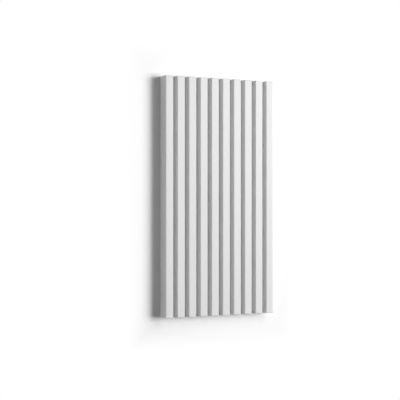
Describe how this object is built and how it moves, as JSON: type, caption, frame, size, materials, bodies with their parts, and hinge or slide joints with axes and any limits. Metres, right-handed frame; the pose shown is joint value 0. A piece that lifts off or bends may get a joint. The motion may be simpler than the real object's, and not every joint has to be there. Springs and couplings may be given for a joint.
{
  "type": "three-dimensional wall panel",
  "caption": "White matt moulded wall panel with straight flat-faced ribs and deep rectangular grooves running its full length, and a flat back that is glued to a wall.",
  "frame": {"origin": "centre of the flat back face, on which the panel lies", "axes": "+X across the ribs, +Y along the ribs, +Z out of the ribbed face"},
  "size_m": [0.25, 0.49, 0.029],
  "materials": {
    "white_primer": "matt white priming coat on rigid moulded foam"
  },
  "bodies": {
    "root": {"wall_panel": "white_primer"}
  },
  "joints": []
}
